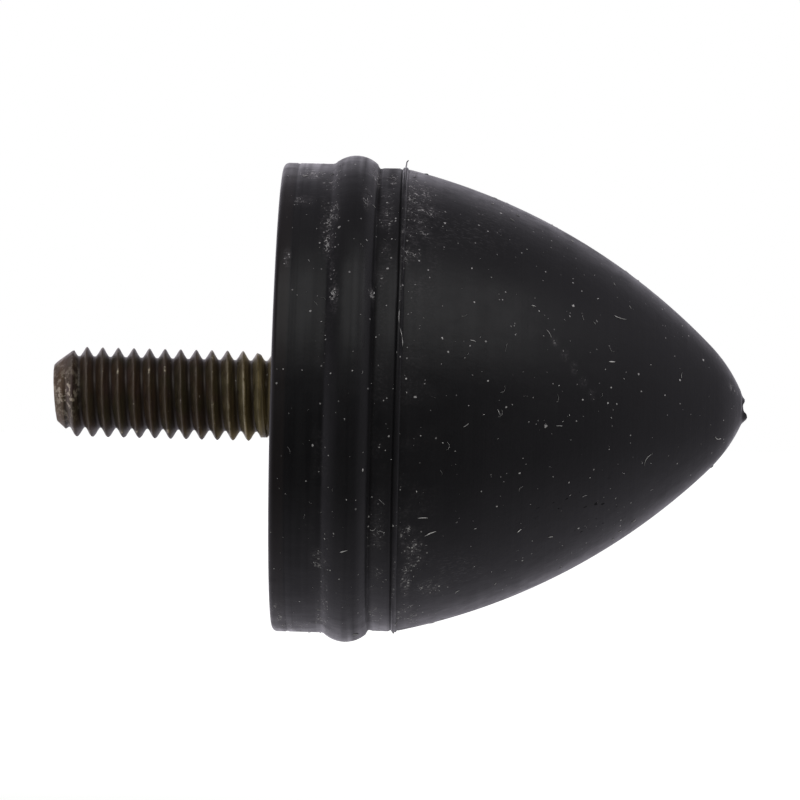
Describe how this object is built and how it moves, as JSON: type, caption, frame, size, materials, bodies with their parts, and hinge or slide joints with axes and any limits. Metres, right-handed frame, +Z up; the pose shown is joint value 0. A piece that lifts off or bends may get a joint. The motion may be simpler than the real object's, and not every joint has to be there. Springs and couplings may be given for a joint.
{
  "type": "anti-vibration mount",
  "caption": "Bullet-shaped rubber buffer with a bead round its skirt, moulded onto a round steel plate that carries a threaded stud.",
  "frame": {"origin": "centre of the seating face, on the axis of the stud", "axes": "+X along the axis towards the nose of the buffer, -X along the stud, +Z up"},
  "size_m": [0.0444, 0.0312, 0.0312],
  "materials": {
    "rubber": "matt, fine moulded grain, dusty",
    "plate_steel": "zinc plated with yellow passivation",
    "stud_steel": "zinc plated with dark yellow passivation, worn at the crests"
  },
  "bodies": {
    "root": {"rubber_buffer": "rubber", "base_plate": "plate_steel", "threaded_stud": "stud_steel"}
  },
  "joints": []
}
